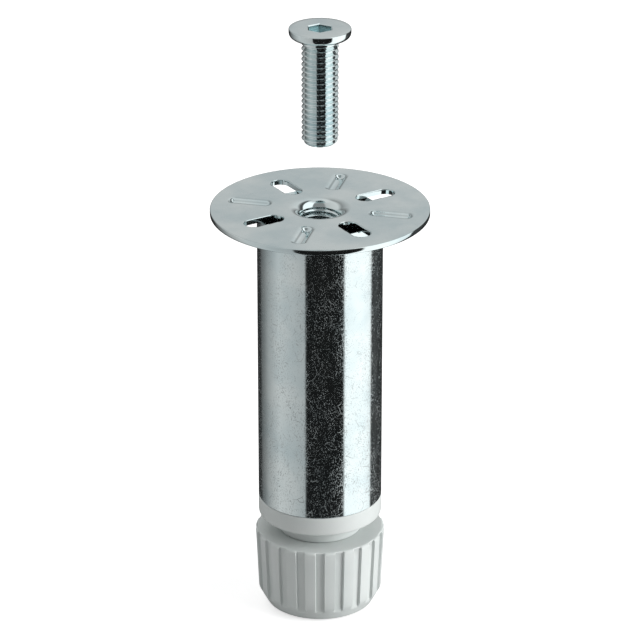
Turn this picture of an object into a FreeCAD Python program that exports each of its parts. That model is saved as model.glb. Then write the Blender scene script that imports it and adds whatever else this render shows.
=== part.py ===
"""Adjustable cabinet leg: a welded steel leg with a screw-in foot, and its fixing bolt held above the plate.

Millimetres. The origin is on the floor under the leg's axis, and +Z runs up the leg.
"""
import FreeCAD
import Part
import math
import os

from FreeCAD import Vector

# Top plate: stamped sheet
PLATE_DIAMETER = 60.0
PLATE_THICKNESS = 1.5
PLATE_EDGE_ROUND = 0.35

# Threaded collar drawn down from the middle of the plate
THREAD_DIAMETER = 10.0
THREAD_CLEARANCE = 0.05
COLLAR_LIP_ROUND = 3.6
COLLAR_WALL = 1.3
COLLAR_DEPTH = 7.0
COLLAR_ROOT_ROUND = 2.1

# Oblong slots, one on each side of the plate, along X and Y
SLOT_COUNT = 4
SLOT_WIDTH = 5.2
SLOT_INNER_RADIUS = 11.9
SLOT_OUTER_RADIUS = 23.6

# Pressed beads between the slots: hollow above, ridge below
BEAD_DEPTH = 1.2
BEAD_NOSE_RADIUS = 2.6
BEAD_INNER_RADIUS = 13.4
BEAD_OUTER_RADIUS = 26.0

# Tube
TUBE_DIAMETER = 34.5
TUBE_WALL = 1.5
TUBE_LENGTH = 84.7

# Moulded plug in the tube's lower end
FLANGE_HEIGHT = 5.8
FLANGE_EDGE_ROUND = 0.8
NECK_DIAMETER = 23.0
NECK_HEIGHT = 4.6
NECK_EDGE_ROUND = 0.5
PLUG_LENGTH = 26.0
PLUG_TIP_TAPER = 1.6
PLUG_TO_TUBE_GAP = 0.7
CRUSH_RIB_COUNT = 8
CRUSH_RIB_WIDTH = 1.4
CRUSH_RIB_GAP = 0.05

# Adjusting foot: ribbed knob with its stem
FOOT_HEIGHT = 22.4
FOOT_TOP_DIAMETER = 36.3
FOOT_BASE_DIAMETER = 34.7
FOOT_TOP_ROUND = 0.8
FOOT_BASE_TAPER_HEIGHT = 4.2
FOOT_BASE_TAPER_WIDTH = 2.3
RIB_COUNT = 20
RIB_ANGLE = 10.4
RIB_HEIGHT = 0.75
RIB_TURN = 13.5
STEM_DIAMETER = 16.0
STEM_LENGTH = 40.0
STEM_TIP_CHAMFER = 1.5
STEM_CLEARANCE = 0.05
STEM_CORE_DIAMETER = 8.0
STEM_CORE_ROOF = 4.0
SEAT_GAP = 0.05

# Hollows in the foot's underside, between its hub, its wall and its webs
FOOT_WALL = 3.0
FOOT_ROOF = 3.6
HUB_DIAMETER = 17.0
WEB_COUNT = 8
WEB_THICKNESS = 1.6

# Floor glide in the foot's underside
GLIDE_DIAMETER = 27.0
GLIDE_RECESS_DEPTH = 2.0
GLIDE_PROUD = 0.4
GLIDE_CLEARANCE = 0.08
GLIDE_EDGE_CHAMFER = 0.3
GLIDE_SPIGOT_LENGTH = 7.0
GLIDE_SPIGOT_CHAMFER = 0.8

# Fixing bolt, held above its hole
BOLT_LENGTH = 30.0
BOLT_LIFT = 19.1
BOLT_NECK_LENGTH = 1.2
BOLT_THREAD_PITCH = 1.5
BOLT_THREAD_DEPTH = 0.92
BOLT_THREAD_CREST = 0.21
BOLT_THREAD_ROOT = 0.3
BOLT_TIP_CHAMFER = 1.0
BOLT_HEAD_DIAMETER = 16.8
BOLT_HEAD_HEIGHT = 2.6
BOLT_HEAD_TOP_ROUND = 0.25
BOLT_HEAD_UNDER_ROUND = 1.5
SOCKET_ACROSS_FLATS = 6.0
SOCKET_DEPTH = 4.0

# How far a cut runs past the face it opens, and a rib or stem into what carries it
OVERLAP = 1.0

# Heights worked out from the sizes above, from the floor up
foot_base_z = GLIDE_PROUD
foot_top_z = foot_base_z + FOOT_HEIGHT
neck_base_z = foot_top_z + SEAT_GAP
flange_base_z = neck_base_z + NECK_HEIGHT
tube_base_z = flange_base_z + FLANGE_HEIGHT
tube_top_z = tube_base_z + TUBE_LENGTH
plate_top_z = tube_top_z + PLATE_THICKNESS
bolt_tip_z = plate_top_z + BOLT_LIFT
bolt_seat_z = bolt_tip_z + BOLT_LENGTH
bolt_top_z = bolt_seat_z + BOLT_HEAD_HEIGHT

tube_outer = TUBE_DIAMETER / 2
tube_inner = tube_outer - TUBE_WALL
stem_radius = STEM_DIAMETER / 2
stem_bore = stem_radius + STEM_CLEARANCE
thread_radius = THREAD_DIAMETER / 2
thread_bore = thread_radius + THREAD_CLEARANCE

AXIS = Vector(0, 0, 1)
ORIGIN = Vector(0, 0, 0)


def section(outline):
    """A face in the XZ plane from (r, z) corners; (r, z, bulge) ends an arc that rises by bulge."""
    edges = []
    points = [Vector(item[0], 0, item[1]) for item in outline]
    for index, item in enumerate(outline):
        start = points[index - 1]
        end = points[index]
        if len(item) == 3:
            chord = end - start
            side = Vector(chord.z, 0, -chord.x).normalize()
            middle = (start + end) * 0.5 + side * item[2]
            edges.append(Part.Arc(start, middle, end).toShape())
        else:
            edges.append(Part.LineSegment(start, end).toShape())
    return Part.Face(Part.Wire(edges))


def turned(outline, angle=360.0, start_angle=0.0):
    """A solid turned about the leg's axis from an outline."""
    solid = section(outline).revolve(ORIGIN, AXIS, angle)
    solid.rotate(ORIGIN, AXIS, start_angle)
    return solid


def quarter(radius, outward=True):
    """The bulge of a quarter round of this radius."""
    sagitta = radius * (1 - math.sqrt(0.5))
    return sagitta if outward else -sagitta


def around(solid, count, first_angle=0.0):
    """Copies of a solid set evenly round the leg's axis."""
    copies = []
    for index in range(count):
        copy = solid.copy()
        copy.rotate(ORIGIN, AXIS, first_angle + index * 360.0 / count)
        copies.append(copy)
    return copies


def capsule(radius, start_r, end_r, z):
    """A round-ended bar lying along X."""
    bar = Part.makeCylinder(radius, end_r - start_r, Vector(start_r, 0, z), Vector(1, 0, 0))
    ends = [Part.makeSphere(radius, Vector(r, 0, z)) for r in (start_r, end_r)]
    return bar.multiFuse(ends)


def make_top_plate():
    """Stamped disc with its drawn collar, slots and pressed beads."""
    rim = PLATE_DIAMETER / 2
    base_z = plate_top_z - PLATE_THICKNESS
    collar_outer = thread_bore + COLLAR_WALL
    collar_base_z = base_z - COLLAR_DEPTH
    plate = turned([
        (thread_bore, collar_base_z),
        (collar_outer, collar_base_z),
        (collar_outer, base_z - COLLAR_ROOT_ROUND),
        (collar_outer + COLLAR_ROOT_ROUND, base_z, quarter(COLLAR_ROOT_ROUND, False)),
        (rim, base_z),
        (rim, plate_top_z - PLATE_EDGE_ROUND),
        (rim - PLATE_EDGE_ROUND, plate_top_z, quarter(PLATE_EDGE_ROUND)),
        (thread_bore + COLLAR_LIP_ROUND, plate_top_z),
        (thread_bore, plate_top_z - COLLAR_LIP_ROUND, quarter(COLLAR_LIP_ROUND)),
    ])
    bead_axis_z = plate_top_z + BEAD_NOSE_RADIUS - BEAD_DEPTH
    nose_reach = math.sqrt(BEAD_NOSE_RADIUS**2 - (BEAD_NOSE_RADIUS - BEAD_DEPTH)**2)
    bead_start = BEAD_INNER_RADIUS + nose_reach
    bead_end = BEAD_OUTER_RADIUS - nose_reach
    bead_angle = 180.0 / SLOT_COUNT
    ridge_radius = BEAD_NOSE_RADIUS + PLATE_THICKNESS
    ridge = capsule(ridge_radius, bead_start, bead_end, bead_axis_z)
    above = Part.makeCylinder(rim + OVERLAP, 2 * ridge_radius, Vector(0, 0, base_z + PLATE_THICKNESS / 2))
    plate = plate.multiFuse(around(ridge.cut(above), SLOT_COUNT, bead_angle))
    hollow = capsule(BEAD_NOSE_RADIUS, bead_start, bead_end, bead_axis_z)
    end_radius = SLOT_WIDTH / 2
    slot_start = SLOT_INNER_RADIUS + end_radius
    slot_end = SLOT_OUTER_RADIUS - end_radius
    slot_height = PLATE_THICKNESS + 2 * OVERLAP
    slot = Part.makeBox(slot_end - slot_start, SLOT_WIDTH, slot_height,
                        Vector(slot_start, -end_radius, base_z - OVERLAP))
    for r in (slot_start, slot_end):
        slot = slot.fuse(Part.makeCylinder(end_radius, slot_height, Vector(r, 0, base_z - OVERLAP)))
    cuts = around(hollow, SLOT_COUNT, bead_angle) + around(slot, SLOT_COUNT)
    return plate.cut(Part.makeCompound(cuts)).removeSplitter()


def make_leg_tube(top_plate):
    """Plain tube, with its top edge notched where the plate's ridges are welded into it."""
    outside = Part.makeCylinder(tube_outer, TUBE_LENGTH, Vector(0, 0, tube_base_z))
    inside = Part.makeCylinder(tube_inner, TUBE_LENGTH, Vector(0, 0, tube_base_z))
    return outside.cut(inside).cut(top_plate)


def make_tube_insert():
    """Moulded plug: crush ribs grip in the tube, the flange closes it, the neck stands on the foot."""
    neck = NECK_DIAMETER / 2
    plug = tube_inner - PLUG_TO_TUBE_GAP
    plug_top_z = tube_base_z + PLUG_LENGTH
    body = turned([
        (stem_bore, neck_base_z),
        (neck - NECK_EDGE_ROUND, neck_base_z),
        (neck, neck_base_z + NECK_EDGE_ROUND, quarter(NECK_EDGE_ROUND)),
        (neck, flange_base_z),
        (tube_outer - FLANGE_EDGE_ROUND, flange_base_z),
        (tube_outer, flange_base_z + FLANGE_EDGE_ROUND, quarter(FLANGE_EDGE_ROUND)),
        (tube_outer, tube_base_z),
        (plug, tube_base_z),
        (plug, plug_top_z - PLUG_TIP_TAPER),
        (plug - PLUG_TIP_TAPER / 2, plug_top_z),
        (stem_bore, plug_top_z),
    ])
    rib_reach = tube_inner - CRUSH_RIB_GAP
    rib = turned([
        (plug - OVERLAP, tube_base_z),
        (rib_reach, tube_base_z),
        (rib_reach, plug_top_z - 2 * PLUG_TIP_TAPER),
        (plug - OVERLAP, plug_top_z - PLUG_TIP_TAPER),
    ], math.degrees(CRUSH_RIB_WIDTH / tube_inner))
    return body.multiFuse(around(rib, CRUSH_RIB_COUNT)).removeSplitter()


def make_adjusting_foot():
    """One moulding: ribbed knob, threaded stem above it, cored underside with the glide's recess."""
    crest_top = FOOT_TOP_DIAMETER / 2
    crest_base = FOOT_BASE_DIAMETER / 2
    bearing = crest_base - FOOT_BASE_TAPER_WIDTH
    base_taper = FOOT_BASE_TAPER_HEIGHT / FOOT_BASE_TAPER_WIDTH
    stem_top_z = foot_top_z + STEM_LENGTH

    def knob(top_r, base_r):
        """The knob's outline at its ribs' crest or its grooves' floor: both end in the same taper."""
        return [
            (0, foot_base_z),
            (bearing, foot_base_z),
            (base_r, foot_base_z + base_taper * (base_r - bearing)),
            (top_r, foot_top_z - FOOT_TOP_ROUND),
            (top_r - FOOT_TOP_ROUND, foot_top_z, quarter(FOOT_TOP_ROUND)),
            (0, foot_top_z),
        ]

    rib = turned(knob(crest_top, crest_base), RIB_ANGLE, -RIB_ANGLE / 2)
    foot = turned(knob(crest_top - RIB_HEIGHT, crest_base - RIB_HEIGHT))
    foot = foot.multiFuse(around(rib, RIB_COUNT, RIB_TURN))
    stem = turned([
        (0, foot_top_z - OVERLAP),
        (stem_radius, foot_top_z - OVERLAP),
        (stem_radius, stem_top_z - STEM_TIP_CHAMFER),
        (stem_radius - STEM_TIP_CHAMFER, stem_top_z),
        (0, stem_top_z),
    ])
    foot = foot.fuse(stem)
    recess_top_z = foot_base_z + GLIDE_RECESS_DEPTH
    recess = Part.makeCylinder(GLIDE_DIAMETER / 2 + GLIDE_CLEARANCE, GLIDE_RECESS_DEPTH + OVERLAP,
                               Vector(0, 0, foot_base_z - OVERLAP))
    core_length = stem_top_z - STEM_CORE_ROOF - foot_base_z
    core = Part.makeCylinder(STEM_CORE_DIAMETER / 2 + GLIDE_CLEARANCE, core_length, Vector(0, 0, foot_base_z))
    pocket = turned([
        (HUB_DIAMETER / 2, recess_top_z - OVERLAP),
        (crest_base - RIB_HEIGHT - FOOT_WALL, recess_top_z - OVERLAP),
        (crest_base - RIB_HEIGHT - FOOT_WALL, foot_top_z - FOOT_ROOF),
        (HUB_DIAMETER / 2, foot_top_z - FOOT_ROOF),
    ])
    web = Part.makeBox(crest_top, WEB_THICKNESS, FOOT_HEIGHT, Vector(0, -WEB_THICKNESS / 2, foot_base_z))
    pocket = pocket.cut(Part.makeCompound(around(web, WEB_COUNT)))
    return foot.cut(Part.makeCompound([recess, core, pocket])).removeSplitter()


def make_floor_glide():
    """Disc with a spigot: it stands on the floor and the foot turns on it."""
    disc = GLIDE_DIAMETER / 2
    spigot = STEM_CORE_DIAMETER / 2
    seat_z = foot_base_z + GLIDE_RECESS_DEPTH - SEAT_GAP
    spigot_top_z = seat_z + GLIDE_SPIGOT_LENGTH
    return turned([
        (0, 0),
        (disc - GLIDE_EDGE_CHAMFER, 0),
        (disc, GLIDE_EDGE_CHAMFER),
        (disc, seat_z),
        (spigot, seat_z),
        (spigot, spigot_top_z - GLIDE_SPIGOT_CHAMFER),
        (spigot - GLIDE_SPIGOT_CHAMFER, spigot_top_z),
        (0, spigot_top_z),
    ])


def thread_groove():
    """The groove of the bolt's right-hand thread, from below its tip up to the neck under its head."""
    flare = BOLT_THREAD_CREST / 2
    root_r = thread_radius - BOLT_THREAD_DEPTH
    root_half = BOLT_THREAD_ROOT / 2
    mouth_half = (BOLT_THREAD_PITCH - BOLT_THREAD_CREST) / 2
    flared_half = mouth_half + (mouth_half - root_half) * flare / BOLT_THREAD_DEPTH
    corners = [
        Vector(root_r, 0, root_half),
        Vector(thread_radius + flare, 0, flared_half),
        Vector(thread_radius + flare, 0, -flared_half),
        Vector(root_r, 0, -root_half),
        Vector(root_r, 0, root_half),
    ]
    rise = BOLT_LENGTH - BOLT_NECK_LENGTH + BOLT_THREAD_PITCH
    path = Part.makeHelix(BOLT_THREAD_PITCH, rise, thread_radius)
    groove = Part.Wire(path.Edges).makePipeShell([Part.makePolygon(corners)], True, True)
    groove.translate(Vector(0, 0, bolt_tip_z - BOLT_THREAD_PITCH))
    return groove


def make_mounting_bolt():
    """Flat-headed bolt with a hexagon socket and its thread."""
    head = BOLT_HEAD_DIAMETER / 2
    bolt = turned([
        (0, bolt_tip_z),
        (thread_radius - BOLT_TIP_CHAMFER, bolt_tip_z),
        (thread_radius, bolt_tip_z + BOLT_TIP_CHAMFER),
        (thread_radius, bolt_seat_z),
        (head - BOLT_HEAD_UNDER_ROUND, bolt_seat_z),
        (head, bolt_seat_z + BOLT_HEAD_UNDER_ROUND, quarter(BOLT_HEAD_UNDER_ROUND)),
        (head, bolt_top_z - BOLT_HEAD_TOP_ROUND),
        (head - BOLT_HEAD_TOP_ROUND, bolt_top_z, quarter(BOLT_HEAD_TOP_ROUND)),
        (0, bolt_top_z),
    ])
    corner = SOCKET_ACROSS_FLATS / math.sqrt(3)
    corners = [Vector(corner, 0, bolt_top_z - SOCKET_DEPTH)]
    for index in range(1, 7):
        turn = math.radians(60 * index)
        corners.append(Vector(corner * math.cos(turn), corner * math.sin(turn), bolt_top_z - SOCKET_DEPTH))
    socket = Part.Face(Part.makePolygon(corners)).extrude(Vector(0, 0, SOCKET_DEPTH + OVERLAP))
    return bolt.cut(Part.makeCompound([socket, thread_groove()]))


os.makedirs("parts", exist_ok=True)
top_plate = make_top_plate()
pieces = {
    "top_plate": top_plate,
    "leg_tube": make_leg_tube(top_plate),
    "tube_insert": make_tube_insert(),
    "adjusting_foot": make_adjusting_foot(),
    "floor_glide": make_floor_glide(),
    "mounting_bolt": make_mounting_bolt(),
}
for name, shape in pieces.items():
    if len(shape.Solids) != 1 or not shape.isValid():
        raise ValueError(f"{name} has {len(shape.Solids)} solids, valid {shape.isValid()}")
    shape.Solids[0].exportStep(f"parts/{name}.step")
    print(f"{name}: {shape.Volume:.0f} mm3")
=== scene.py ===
import bpy
import math
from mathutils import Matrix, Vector


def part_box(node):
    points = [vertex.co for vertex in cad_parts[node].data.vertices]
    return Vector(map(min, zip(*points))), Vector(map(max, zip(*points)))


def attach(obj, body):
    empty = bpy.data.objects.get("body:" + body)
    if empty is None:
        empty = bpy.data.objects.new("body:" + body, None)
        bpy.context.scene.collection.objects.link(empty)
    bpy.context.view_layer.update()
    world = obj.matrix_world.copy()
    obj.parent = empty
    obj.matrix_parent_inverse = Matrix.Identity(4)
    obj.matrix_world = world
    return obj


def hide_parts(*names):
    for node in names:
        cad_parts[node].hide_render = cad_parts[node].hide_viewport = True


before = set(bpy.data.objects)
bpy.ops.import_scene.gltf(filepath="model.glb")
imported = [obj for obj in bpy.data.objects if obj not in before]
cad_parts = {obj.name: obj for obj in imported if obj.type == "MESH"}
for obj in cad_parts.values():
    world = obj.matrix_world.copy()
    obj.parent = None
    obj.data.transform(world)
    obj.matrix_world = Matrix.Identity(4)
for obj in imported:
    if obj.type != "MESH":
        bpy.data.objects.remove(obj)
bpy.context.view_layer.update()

# Top plate: a disc stamped from sheet steel and bright zinc plated. A press tool draws the threaded collar
# down from its middle, punches four slots and sinks four beads that stiffen it. The tube is welded on
# underneath.
MM = 0.001
plate_low, plate_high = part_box("top_plate")
plate_top = plate_high.z
plate_rim = plate_high.x
sheet = 1.5 * MM
plate_under = plate_top - sheet
plate_edge = 0.22 * MM
plate_burr = 0.15 * MM
plate_step = 0.25 * MM
collar_base = plate_low.z
collar_bore = 5.05 * MM
collar_wall = 1.3 * MM
collar_outside = collar_bore + collar_wall
collar_lip = 3.6 * MM
collar_root = 2.1 * MM
collar_edge = 0.2 * MM
collar_pitch = 1.5 * MM
collar_lead = collar_pitch / 3
collar_groove = 0.4 * MM
collar_flat = 0.4
collar_step = collar_pitch / 16
crest_round = 0.12
slot_count = 4
slot_half = 2.6 * MM
slot_start = 14.5 * MM
slot_end = 21.0 * MM
slot_edge = 0.3 * MM
slot_lift = 0.03 * MM
slot_facets = 48
flare_steps = 4
bead_spacing = 2 * math.pi / slot_count
bead_depth = 1.2 * MM
bead_start = 15.07 * MM
bead_end = 24.33 * MM
bead_end_slope = 1.5
bead_nose = 1.5 * MM
bead_shoulder = 1.7 * MM
ridge_nose = 4.0 * MM
bead_sector = math.radians(10)
bead_steps = 48
plain_steps = 40
zinc_shade = (0.64, 0.75, 0.77, 1)
zinc_light = (0.80, 0.88, 0.88, 1)
zinc_roughness = 0.08
scuffed_tone = (0.40, 0.43, 0.43, 1)
scuffed_roughness = 0.50
scuffed_metal = 0.68
scuff_relief = 0.006 * MM


def profile(start, *legs):
    """Points (r, z, form) of a section, walked from its start along its legs.

    A section that starts on the axis has its start as a point, and any other one ends where it started.
    """
    points = [] if start[0] > 0 else [(*start, None)]
    for leg in legs:
        points += leg(*start)
        start = points[-1][:2]
    return points


def line_to(end_r, end_z, step=None, form=None):
    """A straight leg of a section, in even steps of about this length, or in one."""
    def leg(r, z):
        run = math.hypot(end_r - r, end_z - z)
        count = max(1, round(run / step)) if step else 1
        shares = [index / count for index in range(1, count + 1)]
        return [(r + (end_r - r) * share, z + (end_z - z) * share, form) for share in shares]

    return leg


def arc_to(end_r, end_z, radius, steps, form=None):
    """A curved leg of a section, which stands off its chord as far as a quarter circle of this radius does.

    It bulges to the right of the way it runs, or to the left where the radius is negative.
    """
    def leg(r, z):
        chord = math.hypot(end_r - r, end_z - z)
        bulge = abs(radius) * (1 - math.sqrt(0.5))
        arc_radius = chord**2 / (8 * bulge) + bulge / 2
        half = math.asin(chord / 2 / arc_radius)
        ahead_r = (end_r - r) / chord
        ahead_z = (end_z - z) / chord
        side = math.copysign(1, radius)
        points = []
        for index in range(1, steps + 1):
            turn = half * (2 * index / steps - 1)
            along = chord / 2 + arc_radius * math.sin(turn)
            off = side * (arc_radius * math.cos(turn) - arc_radius + bulge)
            points.append((r + ahead_r * along + ahead_z * off, z + ahead_z * along - ahead_r * off, form))
        return points

    return leg


def evenly(count):
    """Angles set evenly round the leg's axis."""
    return [2 * math.pi * index / count for index in range(count)]


def turned(name, section, angles):
    """A skin with a ring of points round the leg's axis for each (r, z, form) of its section.

    A form takes r, z and the angle and gives the point's own r and z. A section clear of the axis closes
    on itself.
    """
    vertices = []
    rings = []
    for r, z, form in section:
        ring = []
        for angle in angles if r > 0 else angles[:1]:
            at_r, at_z = form(r, z, angle) if form else (r, z)
            ring.append(len(vertices))
            vertices.append((at_r * math.cos(angle), at_r * math.sin(angle), at_z))
        rings.append(ring)
    if section[0][0] > 0:
        rings.append(rings[0])
    faces = []
    for lower, upper in zip(rings, rings[1:]):
        for here in range(len(angles)):
            there = (here + 1) % len(angles)
            corners = [lower[here % len(lower)], lower[there % len(lower)],
                       upper[there % len(upper)], upper[here % len(upper)]]
            faces.append(list(dict.fromkeys(corners)))
    mesh = bpy.data.meshes.new(name)
    mesh.from_pydata(vertices, [], faces)
    return bpy.data.objects.new(name, mesh)


def soften(piece, angle):
    """Shades a piece smooth, apart from edges sharper than this angle in degrees."""
    piece.data.shade_smooth()
    piece.data.set_sharp_from_angle(angle=math.radians(angle))


def dress(piece, body, node, material):
    """Sets a piece in the stead of its CAD node, with its material."""
    bpy.context.scene.collection.objects.link(piece)
    piece.data.materials.clear()
    piece.data.materials.append(material)
    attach(piece, body)
    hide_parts(node)


def held(share):
    """A share held between 0 and 1."""
    return min(1, max(0, share))


def thread_depth(z, angle, pitch, crest, root):
    """Share of a right-hand thread's depth at a place, 0 on its crest and 1 in its root.

    The flats on crest and root are shares of the pitch, and the crest's edges are rounded.
    """
    place = abs((z / pitch - angle / (2 * math.pi)) % 1 * 2 - 1)
    share = held((place - crest) / (1 - crest - root))
    return (1 + crest_round) * share * share / (share + crest_round)


def bead_dip(r, angle, nose, shoulder):
    """How far a bead presses the sheet's face down at a place, with these two rounds in its section."""
    off = angle % bead_spacing - bead_spacing / 2
    along = r * math.cos(off)
    past = max(bead_start - along, along - bead_end, 0) * bead_end_slope
    away = math.hypot(past, r * math.sin(off))
    reach = math.sqrt(2 * (nose + shoulder) * bead_depth - bead_depth**2)
    if away >= reach:
        return 0
    if away * (nose + shoulder) <= reach * nose:
        return bead_depth - nose + math.sqrt(nose**2 - away**2)
    return shoulder - math.sqrt(shoulder**2 - (reach - away) ** 2)


def hollow(r, z, angle):
    """The sheet's upper face, sunk along the beads."""
    return r, z - bead_dip(r, angle, bead_nose, bead_shoulder)


def ridge(r, z, angle):
    """The sheet's lower face, which stands out along the beads."""
    return r, z - bead_dip(r, angle, ridge_nose, plate_burr)


def collar_thread(r, z, angle):
    """The collar's bore, with a thread that runs out at its lower end and into its lip."""
    run_out = held(2 * (z - collar_base) / collar_pitch)
    depth = thread_depth(z - collar_lead, angle, collar_pitch, collar_flat, collar_flat)
    return max(r, collar_bore + collar_groove * run_out * (1 - depth)), z


plate_section = profile(
    (collar_bore + collar_edge, collar_base),
    line_to(collar_outside - collar_edge, collar_base),
    line_to(collar_outside, collar_base + collar_edge),
    line_to(collar_outside, plate_under - collar_root, MM),
    arc_to(collar_outside + collar_root, plate_under, -collar_root, steps=6),
    line_to(plate_rim - plate_burr, plate_under, 2 * plate_step, ridge),
    line_to(plate_rim, plate_under + plate_burr),
    line_to(plate_rim, plate_top - plate_edge, 2 * plate_step),
    arc_to(plate_rim - plate_edge, plate_top, plate_edge, steps=4),
    line_to(collar_bore + collar_lip, plate_top, plate_step, hollow),
    arc_to(collar_bore, plate_top - collar_lip, collar_lip, steps=40, form=collar_thread),
    line_to(collar_bore, collar_base + collar_edge, collar_step, collar_thread),
    line_to(collar_bore + collar_edge, collar_base),
)


def plate_angles():
    """Angles crowded across the beads, where the sheet's face turns steeply."""
    angles = []
    plain = bead_spacing - 2 * bead_sector
    for turn in evenly(slot_count):
        start = turn + bead_spacing / 2 - bead_sector
        end = turn + bead_spacing / 2 + bead_sector
        angles += [start + 2 * bead_sector * index / bead_steps for index in range(bead_steps + 1)]
        angles += [end + plain * index / plain_steps for index in range(1, plain_steps)]
    return angles


plate = turned("stamped_plate", plate_section, plate_angles())


def slot_punch():
    """A cutter for the four slots, flared at the top to leave the rolled edge that a punch leaves."""
    levels = [(slot_edge, plate_top + sheet)]
    for index in range(flare_steps + 1):
        flare = math.pi / 2 * index / flare_steps
        drop = slot_edge * (1 - math.cos(flare))
        levels.append((slot_edge * (1 - math.sin(flare)), plate_top + slot_lift - drop))
    levels.append((0, plate_under - sheet))
    vertices = []
    faces = []
    for turn in evenly(slot_count):
        first = len(vertices)
        for grow, z in levels:
            for angle in evenly(slot_facets):
                side = angle + math.pi / slot_facets
                centre = slot_end if math.cos(side) > 0 else slot_start
                x = centre + (slot_half + grow) * math.cos(side)
                y = (slot_half + grow) * math.sin(side)
                vertices.append((x * math.cos(turn) - y * math.sin(turn),
                                 x * math.sin(turn) + y * math.cos(turn), z))
        for level in range(len(levels) - 1):
            upper = first + level * slot_facets
            lower = upper + slot_facets
            for here in range(slot_facets):
                there = (here + 1) % slot_facets
                faces.append((upper + here, lower + here, lower + there, upper + there))
        faces.append(range(first, first + slot_facets))
        faces.append(range(len(vertices) - 1, len(vertices) - slot_facets - 1, -1))
    mesh = bpy.data.meshes.new("slot_punch")
    mesh.from_pydata(vertices, [], faces)
    return bpy.data.objects.new("slot_punch", mesh)


punch = slot_punch()
for thing in (plate, punch):
    bpy.context.scene.collection.objects.link(thing)
cut = plate.modifiers.new("slots", "BOOLEAN")
cut.object = punch
cut.operation = "DIFFERENCE"
cut.solver = "EXACT"
punched = bpy.data.meshes.new_from_object(plate.evaluated_get(bpy.context.evaluated_depsgraph_get()))
plate.modifiers.clear()
plate.data = punched
bpy.context.scene.collection.objects.unlink(plate)
bpy.data.objects.remove(punch)
soften(plate, angle=75)


def add(tree, kind, sockets=None, **settings):
    """A node in a tree, with its settings made and its sockets set to values or joined to other sockets."""
    made = tree.nodes.new("ShaderNode" + kind)
    for key, value in settings.items():
        setattr(made, key, value)
    for key, value in (sockets or {}).items():
        if isinstance(value, bpy.types.NodeSocket):
            tree.links.new(value, made.inputs[key])
        else:
            made.inputs[key].default_value = value
    return made


def remap(tree, value, from_low, from_high, to_low, to_high):
    """A value carried from one span to another and held inside it."""
    node = add(tree, "MapRange", {"Value": value, "From Min": from_low, "From Max": from_high,
                                  "To Min": to_low, "To Max": to_high})
    return node.outputs["Result"]


def mix(tree, share, first, second):
    """A colour that goes from the first to the second as the share goes from 0 to 1."""
    node = add(tree, "Mix", {"Factor": share, "A": first, "B": second}, data_type="RGBA")
    return node.outputs["Result"]


def math_of(tree, operation, first, second):
    """The result of one sum on two values."""
    return add(tree, "Math", {0: first, 1: second}, operation=operation).outputs[0]


def new_group(name, inputs, outputs):
    """An empty node group, with its inside ends."""
    group = bpy.data.node_groups.new(name, "ShaderNodeTree")
    for label, kind in inputs.items():
        group.interface.new_socket(label, in_out="INPUT", socket_type=kind)
    for label, kind in outputs.items():
        group.interface.new_socket(label, in_out="OUTPUT", socket_type=kind)
    return group, group.nodes.new("NodeGroupInput"), group.nodes.new("NodeGroupOutput")


def new_scuffs():
    """Handling marks on bright metal: broken curling hairlines, specks in patches, and a fine relief."""
    group, given, result = new_group(
        "scuffs", {"Vector": "NodeSocketVector", "Amount": "NodeSocketFloat"},
        {"Mask": "NodeSocketFloat", "Relief": "NodeSocketFloat"})
    place = given.outputs["Vector"]
    amount = given.outputs["Amount"]
    drift = add(group, "TexNoise", {"Vector": place, "Scale": 260, "Detail": 2})
    curled = add(group, "VectorMath", {0: drift.outputs["Color"], 1: (0.002, 0.002, 0.002), 2: place},
                 operation="MULTIPLY_ADD").outputs["Vector"]
    cells = add(group, "TexVoronoi", {"Vector": curled, "Scale": 240}, feature="DISTANCE_TO_EDGE")
    hair = remap(group, cells.outputs["Distance"], 0.004, 0.024, 0.8, 0)
    breaks = add(group, "TexNoise", {"Vector": place, "Scale": 340, "Detail": 1})
    kept = remap(group, breaks.outputs["Fac"], 0.55, 0.60, 0, 1)
    hairs = math_of(group, "MULTIPLY", hair, kept)
    drawn = add(group, "VectorMath", {0: curled, 1: (1, 1, 0.6)}, operation="MULTIPLY")
    grit = add(group, "TexNoise", {"Vector": drawn.outputs["Vector"], "Scale": 3400, "Detail": 2})
    speck = remap(group, grit.outputs["Fac"], 0.53, 0.68, 0, 1)
    upright = add(group, "VectorMath", {0: place, 1: (1, 1, 0.3)}, operation="MULTIPLY")
    areas = add(group, "TexNoise", {"Vector": upright.outputs["Vector"], "Scale": 260, "Detail": 3})
    patch = remap(group, areas.outputs["Fac"], 0.36, 0.60, 0.1, 1)
    specks = math_of(group, "MULTIPLY", speck, patch)
    marks = math_of(group, "MAXIMUM", hairs, specks)
    group.links.new(math_of(group, "MULTIPLY", marks, amount), result.inputs["Mask"])
    group.links.new(math_of(group, "MULTIPLY", specks, amount), result.inputs["Relief"])
    return group


def new_plating_tone():
    """The cloudy, faintly blue-green tone of a clear zinc passivation."""
    group, given, result = new_group(
        "plating_tone", {"Vector": "NodeSocketVector"}, {"Color": "NodeSocketColor"})
    cloud = add(group, "TexNoise", {"Vector": given.outputs["Vector"], "Scale": 90, "Detail": 3})
    share = remap(group, cloud.outputs["Fac"], 0.35, 0.65, 0, 1)
    tone = mix(group, share, zinc_shade, zinc_light)
    group.links.new(tone, result.inputs["Color"])
    return group


scuffs = new_scuffs()
plating_tone = new_plating_tone()


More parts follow.
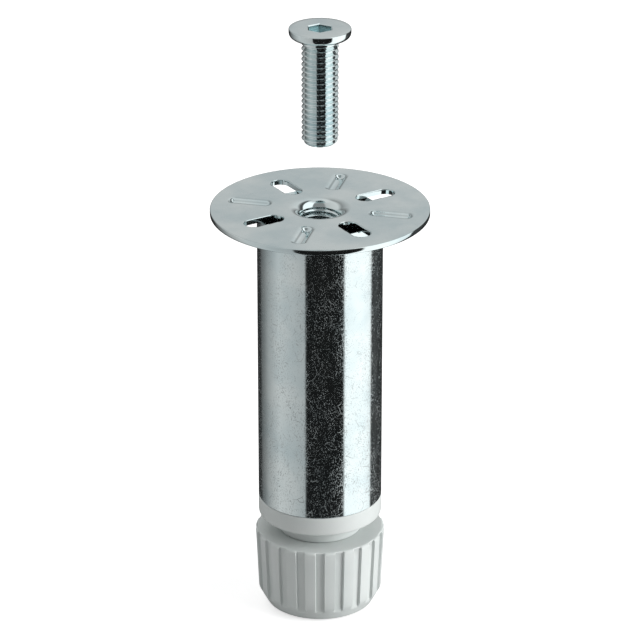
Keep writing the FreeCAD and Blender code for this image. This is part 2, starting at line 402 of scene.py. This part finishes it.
def zinc(name, low_z, high_z, low_scuffs, high_scuffs):
    """Bright zinc plating, scuffed by an amount that changes between two heights."""
    material = bpy.data.materials.new(name)
    material.use_nodes = True
    tree = material.node_tree
    shader = tree.nodes["Principled BSDF"]
    place = add(tree, "TexCoord").outputs["Object"]
    height = add(tree, "SeparateXYZ", {"Vector": place}).outputs["Z"]
    amount = remap(tree, height, low_z, high_z, low_scuffs, high_scuffs)
    marks = add(tree, "Group", {"Vector": place, "Amount": amount}, node_tree=scuffs).outputs
    tone = add(tree, "Group", {"Vector": place}, node_tree=plating_tone).outputs["Color"]
    bump = add(tree, "Bump", {"Height": marks["Relief"], "Strength": 1, "Distance": scuff_relief})
    dulled = mix(tree, marks["Mask"], tone, scuffed_tone)
    tree.links.new(dulled, shader.inputs["Base Color"])
    metal = remap(tree, marks["Mask"], 0, 1, 1, scuffed_metal)
    tree.links.new(metal, shader.inputs["Metallic"])
    roughness = remap(tree, marks["Mask"], 0, 1, zinc_roughness, scuffed_roughness)
    tree.links.new(roughness, shader.inputs["Roughness"])
    tree.links.new(bump.outputs["Normal"], shader.inputs["Normal"])
    return material


plate_zinc = zinc("zinc_plate", plate_under, plate_top, low_scuffs=0.0, high_scuffs=0.12)
dress(plate, "leg", "top_plate", plate_zinc)

# Leg tube: drawn steel tube, cut square and zinc plated after it is welded to the plate. Its top edge is
# notched where the beads' ridges sink into it, and it is scuffed most towards its lower end.
tube_low, tube_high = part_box("leg_tube")
tube_outside = tube_high.x
tube_wall = 1.5 * MM
tube_inside = tube_outside - tube_wall
tube_edge = 0.2 * MM
tube_deburr = 0.6 * MM
tube_step = 6 * MM
tube_facets = 256
tube_section = profile(
    (tube_outside - tube_edge, tube_low.z),
    line_to(tube_outside, tube_low.z + tube_edge),
    line_to(tube_outside, plate_under - tube_edge, tube_step, ridge),
    line_to(tube_outside - tube_edge, plate_under, form=ridge),
    line_to(tube_inside, plate_under - tube_deburr, form=ridge),
    line_to(tube_inside, tube_low.z, tube_step, ridge),
    line_to(tube_outside - tube_edge, tube_low.z),
)
tube = turned("zinc_tube", tube_section, evenly(tube_facets))
soften(tube, angle=30)
tube_zinc = zinc("zinc_tube", tube_low.z, plate_under, low_scuffs=1.0, high_scuffs=0.6)
dress(tube, "leg", "leg_tube", tube_zinc)

# Tube insert: a plug moulded in light grey plastic and driven into the tube, where crush ribs hold it. Its
# flange closes the tube, its neck stands on the foot, and the foot's coarse thread runs through it.
insert_low, insert_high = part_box("tube_insert")
insert_facets = 192
neck_radius = 11.8 * MM
neck_edge = 0.5 * MM
flange_height = 5.55 * MM
flange_base = tube_low.z - flange_height
flange_edge = 0.8 * MM
flange_break = 0.25 * MM
plug_gap = 0.7 * MM
plug_radius = tube_inside - plug_gap
plug_taper = 1.6 * MM
plug_step = 5 * MM
crush_count = 8
crush_width = 1.4 * MM
crush_height = 0.65 * MM
crush_top = insert_high.z - 2 * plug_taper
stem_bore = 8.05 * MM
stem_pitch = 4 * MM
stem_flat = 0.25
stem_step = stem_pitch / 10
bore_groove = 1.0 * MM
moulding_shade = (0.55, 0.59, 0.58, 1)
moulding_light = (0.60, 0.63, 0.62, 1)
grain_relief = 0.01 * MM


def off_nearest(angle, count):
    """How far an angle is from the nearest of this many places set evenly round the axis."""
    spacing = 2 * math.pi / count
    return abs((angle + spacing / 2) % spacing - spacing / 2)


def bore_thread(r, z, angle):
    """The insert's bore, with the foot's coarse thread all through it."""
    return r + bore_groove * (1 - thread_depth(z, angle, stem_pitch, stem_flat, stem_flat)), z


def crushed(r, z, angle):
    """The plug's side, with the crush ribs that grip the tube."""
    on_rib = off_nearest(angle, crush_count) * tube_inside <= crush_width / 2
    return (r + crush_height, z) if on_rib else (r, z)


insert_section = profile(
    (stem_bore, insert_low.z),
    line_to(neck_radius - neck_edge, insert_low.z, MM),
    arc_to(neck_radius, insert_low.z + neck_edge, neck_edge, steps=4),
    line_to(neck_radius, flange_base, MM),
    line_to(tube_outside - flange_edge, flange_base, MM),
    arc_to(tube_outside, flange_base + flange_edge, flange_edge, steps=5),
    line_to(tube_outside, tube_low.z - flange_break, MM),
    arc_to(tube_outside - flange_break, tube_low.z, flange_break, steps=3),
    line_to(plug_radius, tube_low.z),
    line_to(plug_radius, tube_low.z + tube_edge, form=crushed),
    line_to(plug_radius, crush_top, plug_step, crushed),
    line_to(plug_radius, insert_high.z - plug_taper, MM),
    line_to(plug_radius - plug_taper / 2, insert_high.z, MM),
    line_to(stem_bore, insert_high.z, 2 * MM),
    line_to(stem_bore, insert_low.z, stem_step, bore_thread),
)
insert = turned("moulded_insert", insert_section, evenly(insert_facets))
soften(insert, angle=35)


def new_moulded_grain():
    """The skin of a moulding: a fine even grain, and the slow drift in tone that its flow leaves."""
    group, given, result = new_group(
        "moulded_grain", {"Vector": "NodeSocketVector"},
        {"Height": "NodeSocketFloat", "Tone": "NodeSocketFloat"})
    place = given.outputs["Vector"]
    grain = add(group, "TexNoise", {"Vector": place, "Scale": 2600, "Detail": 2})
    flow = add(group, "TexNoise", {"Vector": place, "Scale": 70, "Detail": 3})
    tone = remap(group, flow.outputs["Fac"], 0.3, 0.7, 0, 1)
    group.links.new(grain.outputs["Fac"], result.inputs["Height"])
    group.links.new(tone, result.inputs["Tone"])
    return group


moulded_grain = new_moulded_grain()


def moulded(name, shade, light, smooth, rough):
    """Satin moulded plastic that drifts between two close greys and two roughnesses."""
    material = bpy.data.materials.new(name)
    material.use_nodes = True
    tree = material.node_tree
    shader = tree.nodes["Principled BSDF"]
    place = add(tree, "TexCoord").outputs["Object"]
    grain = add(tree, "Group", {"Vector": place}, node_tree=moulded_grain).outputs
    bump = add(tree, "Bump", {"Height": grain["Height"], "Strength": 0.5, "Distance": grain_relief})
    tree.links.new(mix(tree, grain["Tone"], shade, light), shader.inputs["Base Color"])
    tree.links.new(remap(tree, grain["Tone"], 0, 1, smooth, rough), shader.inputs["Roughness"])
    tree.links.new(bump.outputs["Normal"], shader.inputs["Normal"])
    return material


insert_grey = moulded("insert_grey", moulding_shade, moulding_light, smooth=0.36, rough=0.44)
dress(insert, "leg", "tube_insert", insert_grey)

# Adjusting foot: one moulding in the same light grey, a knob with twenty grip ribs on a hollow threaded
# stem. The ribs run out on the tapered lower rim, and the underside is cored between webs, with a recess
# for the glide.
foot_low, foot_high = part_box("adjusting_foot")
stem_length = 40 * MM
stem_radius = 8.0 * MM
stem_groove = 1.0 * MM
stem_tip = 1.5 * MM
stem_roof = 4 * MM
foot_top = foot_high.z - stem_length
knob_top = 18.15 * MM
knob_base = 17.35 * MM
knob_bearing = 15.05 * MM
knob_round = 0.8 * MM
knob_roof = 3.6 * MM
knob_step = 3 * MM
base_taper = 4.2 * MM
base_edge = 0.3 * MM
base_step = MM / 3
rib_count = 20
rib_spacing = 2 * math.pi / rib_count
rib_height = 0.80 * MM
rib_turn = math.radians(13.5)
rib_crest = math.radians(4.7)
rib_foot = math.radians(5.3)
rib_wall_steps = 5
recess_radius = 13.58 * MM
recess_depth = 2 * MM
recess_top = foot_low.z + recess_depth
hub_radius = 8.5 * MM
pocket_radius = 13.4 * MM
pocket_top = foot_top - knob_roof
web_count = 8
web_half = 0.8 * MM
core_radius = 4.08 * MM
core_top = foot_high.z - stem_roof


def rib_rise(angle):
    """Share of a rib's height at an angle: 1 on its crest, 0 in the groove, with rounded walls between."""
    share = held((rib_foot - off_nearest(angle - rib_turn, rib_count)) / (rib_foot - rib_crest))
    return share * share * (3 - 2 * share)


def ribbed(r, z, angle):
    """The knob's side, with the ribs' crests as its section.

    The grooves between the ribs run out on the lower taper and the top round.
    """
    depth = min(rib_height, max(0, r - knob_base + rib_height)) * min(1, (foot_top - z) / knob_round)
    return r - depth * (1 - rib_rise(angle)), z


def stem_thread(r, z, angle):
    """The stem's side, with a coarse thread that runs out at both ends."""
    run_out = held(2 * min(z - foot_top, foot_high.z - z) / stem_pitch)
    return r - stem_groove * run_out * thread_depth(z, angle, stem_pitch, stem_flat, stem_flat), z


def pocket(r, z, angle):
    """The roof of the cored underside, which the webs bring down to the recess."""
    return (r, recess_top) if off_nearest(angle, web_count) * r <= web_half else (r, z)


def rib_angles():
    """Angles crowded at the ribs' walls, where the knob's outline turns."""
    shares = [index / rib_wall_steps for index in range(rib_wall_steps + 1)]
    walls = [rib_crest + (rib_foot - rib_crest) * share for share in shares]
    half = [rib_crest / 2] + walls + [(rib_foot + rib_spacing / 2) / 2]
    steps = sorted([-off for off in half] + [0] + half + [rib_spacing / 2])
    return [rib_turn + rib_spacing * index + step for index in range(rib_count) for step in steps]


foot_section = profile(
    (0, core_top),
    line_to(core_radius, core_top),
    line_to(core_radius, recess_top),
    line_to(hub_radius, recess_top),
    line_to(hub_radius, pocket_top, form=pocket),
    line_to(pocket_radius, pocket_top, form=pocket),
    line_to(pocket_radius, recess_top),
    line_to(recess_radius, recess_top),
    line_to(recess_radius, foot_low.z),
    line_to(knob_bearing - base_edge, foot_low.z),
    arc_to(knob_bearing + base_edge / 2, foot_low.z + base_edge, base_edge, steps=3),
    line_to(knob_base, foot_low.z + base_taper, base_step, ribbed),
    line_to(knob_top, foot_top - knob_round, knob_step, ribbed),
    arc_to(knob_top - knob_round, foot_top, knob_round, steps=6, form=ribbed),
    line_to(stem_radius, foot_top, knob_step),
    line_to(stem_radius, foot_high.z - stem_tip, stem_step, stem_thread),
    line_to(stem_radius - stem_tip, foot_high.z, stem_step, stem_thread),
    line_to(0, foot_high.z),
)
foot = turned("ribbed_foot", foot_section, rib_angles())
soften(foot, angle=40)
foot_grey = moulded("foot_grey", moulding_shade, moulding_light, smooth=0.38, rough=0.46)
dress(foot, "foot", "adjusting_foot", foot_grey)

# Floor glide: a plain disc moulded in dark plastic, snapped into the foot's underside by its spigot. It
# stays still on the floor while the foot turns on it.
glide_low, glide_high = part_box("floor_glide")
glide_radius = glide_high.x
glide_edge = 0.3 * MM
glide_gap = 0.05 * MM
glide_seat = recess_top - glide_gap
glide_step = 4 * MM
glide_facets = 96
glide_shade = (0.028, 0.029, 0.031, 1)
glide_light = (0.036, 0.037, 0.040, 1)
spigot_radius = 4.0 * MM
spigot_tip = 0.8 * MM
glide_section = profile(
    (0, glide_low.z),
    line_to(glide_radius - glide_edge, glide_low.z, glide_step),
    arc_to(glide_radius, glide_low.z + glide_edge, glide_edge, steps=3),
    line_to(glide_radius, glide_seat),
    line_to(spigot_radius, glide_seat, glide_step),
    line_to(spigot_radius, glide_high.z - spigot_tip, glide_step),
    line_to(spigot_radius - spigot_tip, glide_high.z),
    line_to(0, glide_high.z),
)
glide = turned("glide_disc", glide_section, evenly(glide_facets))
soften(glide, angle=35)
glide_grey = moulded("glide_grey", glide_shade, glide_light, smooth=0.5, rough=0.58)
dress(glide, "glide", "floor_glide", glide_grey)

# Mounting bolt: an M10 flat-headed bolt with a hexagon socket, cold headed, thread rolled and zinc plated.
# It is shown taken out of the plate's thread and held above it.
bolt_low, bolt_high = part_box("mounting_bolt")
bolt_radius = 5.0 * MM
bolt_pitch = 1.5 * MM
bolt_groove = 0.92 * MM
bolt_crest = 0.08
bolt_root = 0.2
bolt_step = bolt_pitch / 20
bolt_tip = 1.0 * MM
bolt_plain = 1.2 * MM
bolt_facets = 120
head_radius = bolt_high.x
head_height = 2.6 * MM
head_seat = bolt_high.z - head_height
head_under = 1.5 * MM
head_edge = 0.25 * MM
head_inner = 5.0 * MM
socket_half = 3.0 * MM
socket_chamfer = 0.25 * MM
socket_depth = 4.0 * MM
socket_base = bolt_high.z - socket_depth


def bolt_thread(r, z, angle):
    """The shank's side, with a thread that runs out below the head and into the tip's chamfer."""
    run_out = held(2 * (head_seat - bolt_plain - z) / bolt_pitch)
    depth = thread_depth(z - bolt_low.z, angle, bolt_pitch, bolt_crest, bolt_root)
    return min(r, bolt_radius - bolt_groove * run_out * depth), z


def hexagon(r, z, angle):
    """The socket's side, with six flats at this radius."""
    return r / math.cos(angle % (math.pi / 3) - math.pi / 6), z


bolt_section = profile(
    (0, bolt_low.z),
    line_to(bolt_radius - bolt_tip, bolt_low.z),
    line_to(bolt_radius, bolt_low.z + bolt_tip, bolt_step, bolt_thread),
    line_to(bolt_radius, head_seat, bolt_step, bolt_thread),
    line_to(head_radius - head_under, head_seat, MM),
    arc_to(head_radius, head_seat + head_under, head_under, steps=10),
    line_to(head_radius, bolt_high.z - head_edge),
    arc_to(head_radius - head_edge, bolt_high.z, head_edge, steps=4),
    line_to(head_inner, bolt_high.z, MM),
    line_to(socket_half + socket_chamfer, bolt_high.z, form=hexagon),
    line_to(socket_half, bolt_high.z - socket_chamfer, form=hexagon),
    line_to(socket_half, socket_base, 2 * MM, hexagon),
    line_to(0, socket_base),
)
bolt = turned("flat_head_bolt", bolt_section, evenly(bolt_facets))
soften(bolt, angle=35)
bolt_zinc = zinc("zinc_bolt", bolt_low.z, bolt_high.z, low_scuffs=0.15, high_scuffs=0.15)
dress(bolt, "bolt", "mounting_bolt", bolt_zinc)

# Studio: a plain pale floor that looks white to the camera, and two soft lamps, one on the right and one
# behind. Bright metal mirrors only the room: a grey wall on the left, dark behind the camera, and a white
# wall on the right.
camera_turn = -31.5
camera_rise = 24.0
camera_distance = 1.0
camera_aim = Vector((0, 0, 0.086))
picture_side = 640
focal_pixels = 3625.3
floor_half = 4.0
floor_gap = 0.05 * MM
floor_grey = (0.62, 0.62, 0.62, 1)
floor_glow = 0.03
floor_glow_seen = 0.62
lamp_distance = 1.2
ceiling_grey = (0.70, 0.70, 0.70, 1)
white = (1, 1, 1, 1)


def stand(thing, turn, rise, distance):
    """Stands a camera or a lamp off the leg, at a turn round it and a rise in degrees, facing it."""
    side = math.radians(turn)
    up = math.radians(rise)
    way = Vector((math.sin(side) * math.cos(up), -math.cos(side) * math.cos(up), math.sin(up)))
    thing.location = camera_aim + way * distance
    thing.rotation_euler = way.to_track_quat("Z", "Y").to_euler()
    bpy.context.scene.collection.objects.link(thing)


camera_data = bpy.data.cameras.new("camera")
camera_data.lens = camera_data.sensor_width * focal_pixels / picture_side
camera = bpy.data.objects.new("camera", camera_data)
stand(camera, camera_turn, camera_rise, camera_distance)
bpy.context.scene.camera = camera

floor_mesh = bpy.data.meshes.new("floor")
floor_sides = ((-1, -1), (1, -1), (1, 1), (-1, 1))
floor_corners = [(x * floor_half, y * floor_half, -floor_gap) for x, y in floor_sides]
floor_mesh.from_pydata(floor_corners, [], [(0, 1, 2, 3)])
floor = bpy.data.objects.new("floor", floor_mesh)
floor.visible_glossy = False
bpy.context.scene.collection.objects.link(floor)
floor_paint = bpy.data.materials.new("floor_paint")
floor_paint.use_nodes = True
floor_tree = floor_paint.node_tree
floor_shader = floor_tree.nodes["Principled BSDF"]
floor_shader.inputs["Base Color"].default_value = floor_grey
floor_shader.inputs["Roughness"].default_value = 0.9
floor_shader.inputs["Emission Color"].default_value = white
floor_seen = add(floor_tree, "LightPath").outputs["Is Camera Ray"]
glow = remap(floor_tree, floor_seen, 0, 1, floor_glow, floor_glow_seen)
floor_tree.links.new(glow, floor_shader.inputs["Emission Strength"])
floor_mesh.materials.append(floor_paint)


def lamp(name, turn, rise, size, power):
    """A square soft lamp, placed by its turn from the camera and its rise, in degrees."""
    data = bpy.data.lights.new(name, "AREA")
    data.size = size
    data.energy = power
    made = bpy.data.objects.new(name, data)
    made.visible_glossy = False
    stand(made, camera_turn + turn, rise, lamp_distance)


lamp("right_softbox", turn=71, rise=17, size=0.7, power=14)
lamp("back_softbox", turn=-145, rise=42, size=0.8, power=4)


def ramp(tree, value, stops):
    """A grey ramp round the room: pairs of a turn from the camera in degrees and a brightness."""
    node = add(tree, "ValToRGB", {"Fac": value})
    while len(node.color_ramp.elements) < len(stops):
        node.color_ramp.elements.new(0.5)
    for element, (turn, grey) in zip(node.color_ramp.elements, stops):
        element.position = turn / 360 + 0.5
        element.color = (grey, grey, grey, 1)
    return node.outputs["Color"]


world = bpy.data.worlds.new("room")
world.use_nodes = True
world.cycles.sampling_method = "NONE"
bpy.context.scene.world = world
room = world.node_tree
outward = add(room, "TexCoord").outputs["Generated"]
turned_outward = add(room, "VectorRotate", {"Vector": outward, "Angle": math.radians(-camera_turn)},
                     rotation_type="Z_AXIS").outputs["Vector"]
heading = add(room, "SeparateXYZ", {"Vector": turned_outward}).outputs
to_camera = math_of(room, "MULTIPLY", heading["Y"], -1)
around = remap(room, math_of(room, "ARCTAN2", heading["X"], to_camera), -math.pi, math.pi, 0, 1)
low_walls = ramp(room, around, [
    (-180, 0.03), (-142, 0.03), (-136, 0.14), (-123, 0.23), (-112, 0.36), (-82, 0.60),
    (-58, 0.55), (-28, 0.46), (-26, 0.01), (44, 0.01), (47, 1.22), (85, 1.26),
    (104, 1.12), (107, 1.00), (110, 0.03), (122, 0.06), (140, 0.03), (180, 0.03)])
high_walls = ramp(room, around, [
    (-180, 0.58), (-160, 0.45), (-140, 0.30), (-115, 0.68), (-40, 0.56), (-26, 0.26), (44, 0.26),
    (47, 1.26), (107, 1.26), (112, 0.06), (128, 0.12), (145, 0.72), (180, 0.58)])
high_share = remap(room, heading["Z"], -0.04, 0.34, 0, 1)
ceiling_share = remap(room, heading["Z"], 0.88, 0.96, 0, 1)
walls = mix(room, high_share, low_walls, high_walls)
mirrored = mix(room, ceiling_share, walls, ceiling_grey)
room_seen = add(room, "LightPath").outputs["Is Camera Ray"]
shown = mix(room, room_seen, mirrored, white)
room.links.new(shown, room.nodes["Background"].inputs["Color"])

bpy.context.scene.view_settings.view_transform = "Standard"
